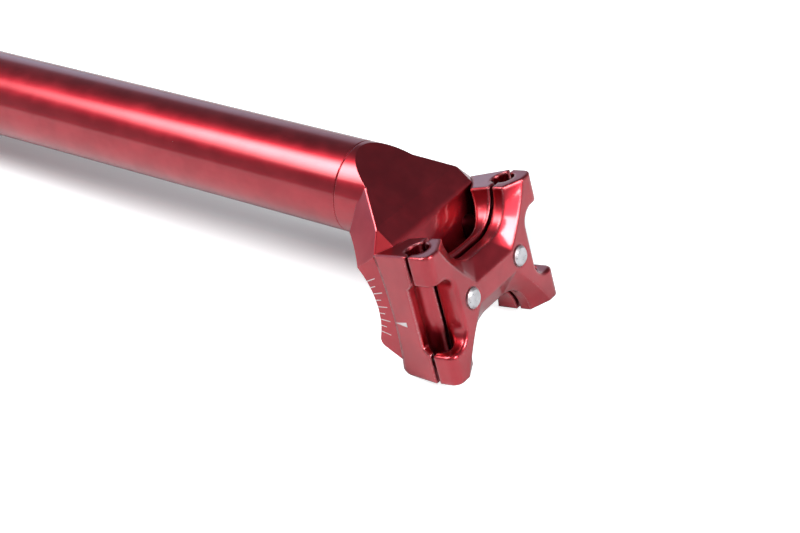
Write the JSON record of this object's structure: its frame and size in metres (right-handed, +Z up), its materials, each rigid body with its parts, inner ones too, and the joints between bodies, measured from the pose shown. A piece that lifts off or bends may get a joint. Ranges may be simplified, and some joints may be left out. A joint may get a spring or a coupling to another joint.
{
  "type": "bicycle seatpost",
  "caption": "Bicycle seatpost with a set-back head, a curved cradle and a two-bolt clamp that holds and tilts the saddle's rails.",
  "frame": {"origin": "centre of the post's open bottom end", "axes": "+Z up along the post, +X towards the rear of the bicycle, +Y to the rider's right"},
  "size_m": [0.0547, 0.0546, 0.3604],
  "materials": {
    "tube_red": "polished, dyed anodising",
    "head_red": "polished, dyed anodising",
    "clamp_red": "polished, dyed anodising",
    "bolt_steel": "bright, lightly worn",
    "washer_steel": "satin"
  },
  "bodies": {
    "post": {"post_tube": "tube_red", "head": "head_red"},
    "clamp": {"lower_clamp": "clamp_red", "saddle_washer_left": "washer_steel", "saddle_washer_right": "washer_steel", "flat_washer_left": "washer_steel", "flat_washer_right": "washer_steel"},
    "top_clamp": {"upper_clamp": "clamp_red"},
    "left_bolt": {"bolt_left": "bolt_steel"},
    "right_bolt": {"bolt_right": "bolt_steel"}
  },
  "joints": [
    {"name": "clamp_tilt", "type": "hinge", "parent": "post", "child": "clamp", "pos_m": [0.03791, 0, 0.24968], "axis": [0, 1, 0], "range_deg": [-5.3, 5]},
    {"name": "clamp_open", "type": "slide", "parent": "clamp", "child": "top_clamp", "axis": [-0.1805, 0, 0.9836], "range_m": [0, 0.004]},
    {"name": "bolt_left_turn", "type": "hinge", "parent": "clamp", "child": "left_bolt", "pos_m": [0.0195, -0.01245, 0.35], "axis": [-0.1805, 0, 0.9836], "range_deg": [-1440, 0]},
    {"name": "bolt_right_turn", "type": "hinge", "parent": "clamp", "child": "right_bolt", "pos_m": [0.0195, 0.01245, 0.35], "axis": [-0.1805, 0, 0.9836], "range_deg": [-1440, 0]}
  ],
  "couplings": [
    {"joint": "bolt_left_turn", "follows": "clamp_open", "rad_per_m": -6283.2},
    {"joint": "bolt_right_turn", "follows": "clamp_open", "rad_per_m": -6283.2}
  ]
}
